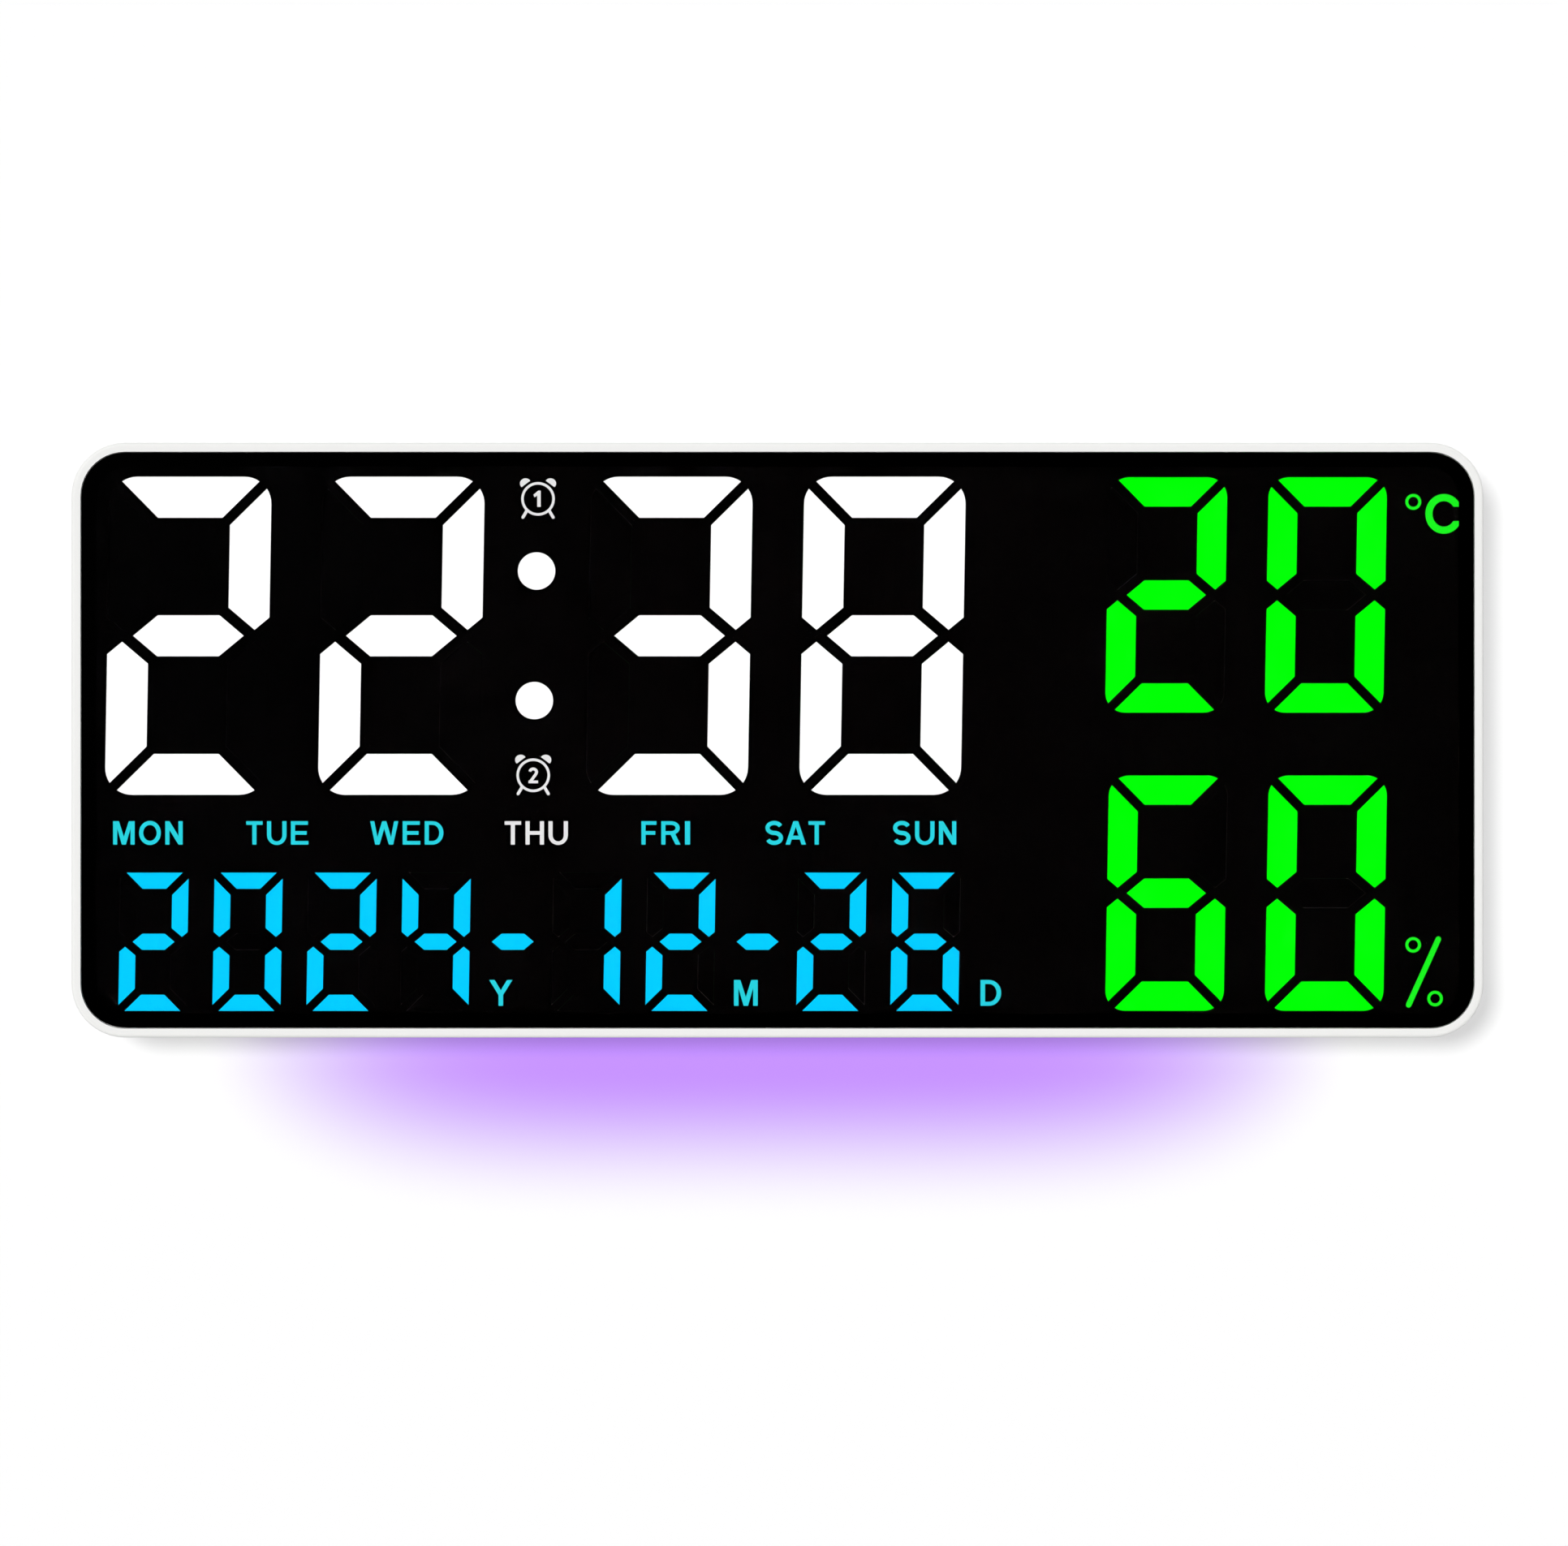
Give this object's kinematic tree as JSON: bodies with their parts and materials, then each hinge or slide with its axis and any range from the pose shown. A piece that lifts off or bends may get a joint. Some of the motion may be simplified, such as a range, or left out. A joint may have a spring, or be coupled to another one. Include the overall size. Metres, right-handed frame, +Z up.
{
  "type": "digital wall clock",
  "caption": "Flat rounded-rectangle LED wall clock with a black glossy front showing time, weekday, date, temperature and humidity, a night light underneath and keyholes at the back.",
  "frame": {"origin": "centre of the rear cover's flat back, where it meets the wall", "axes": "+X to the right seen from the front, +Y into the wall with the display facing -Y, +Z up"},
  "size_m": [0.235, 0.028, 0.099],
  "materials": {
    "white_abs": "fine satin",
    "clear_acrylic": "polished",
    "tape": "matte",
    "mask_print": "satin",
    "reflector_white": "matte",
    "lit_white": "lit",
    "lit_cyan": "lit",
    "lit_green": "lit",
    "unlit_window": "satin",
    "diffuser_milk": "matte",
    "led_resin": "clear",
    "board_laminate": "solder mask",
    "chip_resin": "matte",
    "plated_steel": "plated",
    "can_aluminium": "satin",
    "black_plastic": "satin",
    "sensor_plastic": "satin",
    "light_bar_milk": "opal",
    "strip_laminate": "solder mask",
    "cell_wrap": "sleeve",
    "pad_rubber": "matte"
  },
  "bodies": {
    "case": {"front_frame": "white_abs", "front_panel": "clear_acrylic", "panel_tape": "tape", "mask_film": "mask_print", "reflector": "reflector_white", "time_segments": "lit_white", "colon_dots_lit": "lit_white", "date_segments": "lit_cyan", "temperature_segments": "lit_green", "humidity_segments": "lit_green", "unlit_segments": "unlit_window", "legend_diffusers": "diffuser_milk", "display_leds": "led_resin", "main_board": "board_laminate", "board_screws": "plated_steel", "controller_chip": "chip_resin", "driver_chips": "chip_resin", "crystal": "plated_steel", "capacitors": "can_aluminium", "buzzer": "black_plastic", "climate_sensor": "sensor_plastic", "usb_shell": "plated_steel", "usb_tongue": "black_plastic", "rear_cover": "white_abs", "case_screws": "plated_steel", "switch_board": "board_laminate", "switch_board_screws": "plated_steel", "switch_header": "black_plastic", "switch_bodies": "plated_steel", "light_bar": "light_bar_milk", "led_strip": "strip_laminate", "colour_leds": "led_resin", "strip_header": "black_plastic", "cell_contacts": "plated_steel", "backup_cells": "cell_wrap", "foot_pins": "plated_steel"},
    "button_1_body": {"button_1": "white_abs", "plunger_1": "black_plastic"},
    "button_2_body": {"button_2": "white_abs", "plunger_2": "black_plastic"},
    "button_3_body": {"button_3": "white_abs", "plunger_3": "black_plastic"},
    "button_4_body": {"button_4": "white_abs", "plunger_4": "black_plastic"},
    "button_5_body": {"button_5": "white_abs", "plunger_5": "black_plastic"},
    "door_body": {"battery_door": "white_abs"},
    "foot_left_body": {"foot_left": "white_abs", "foot_pad_left": "pad_rubber"},
    "foot_right_body": {"foot_right": "white_abs", "foot_pad_right": "pad_rubber"}
  },
  "joints": [
    {"name": "button_1_press", "type": "slide", "parent": "case", "child": "button_1_body", "axis": [0, 0, -1], "range_m": [0, 0.0005], "stiffness_N_per_m": 1500, "springref_m": -0.0002},
    {"name": "button_2_press", "type": "slide", "parent": "case", "child": "button_2_body", "axis": [0, 0, -1], "range_m": [0, 0.0005], "stiffness_N_per_m": 1500, "springref_m": -0.0002},
    {"name": "button_3_press", "type": "slide", "parent": "case", "child": "button_3_body", "axis": [0, 0, -1], "range_m": [0, 0.0005], "stiffness_N_per_m": 1500, "springref_m": -0.0002},
    {"name": "button_4_press", "type": "slide", "parent": "case", "child": "button_4_body", "axis": [0, 0, -1], "range_m": [0, 0.0005], "stiffness_N_per_m": 1500, "springref_m": -0.0002},
    {"name": "button_5_press", "type": "slide", "parent": "case", "child": "button_5_body", "axis": [0, 0, -1], "range_m": [0, 0.0005], "stiffness_N_per_m": 1500, "springref_m": -0.0002},
    {"name": "door_hinge", "type": "hinge", "parent": "case", "child": "door_body", "pos_m": [-0.06375, 0, -0.001], "axis": [0, 0, 1], "range_deg": [0, 70]},
    {"name": "foot_left_hinge", "type": "hinge", "parent": "case", "child": "foot_left_body", "pos_m": [-0.1045, -0.0031, -0.0435], "axis": [0, 0, 1], "range_deg": [0, 90]},
    {"name": "foot_right_hinge", "type": "hinge", "parent": "case", "child": "foot_right_body", "pos_m": [0.1045, -0.0031, -0.0435], "axis": [0, 0, -1], "range_deg": [0, 90]}
  ]
}
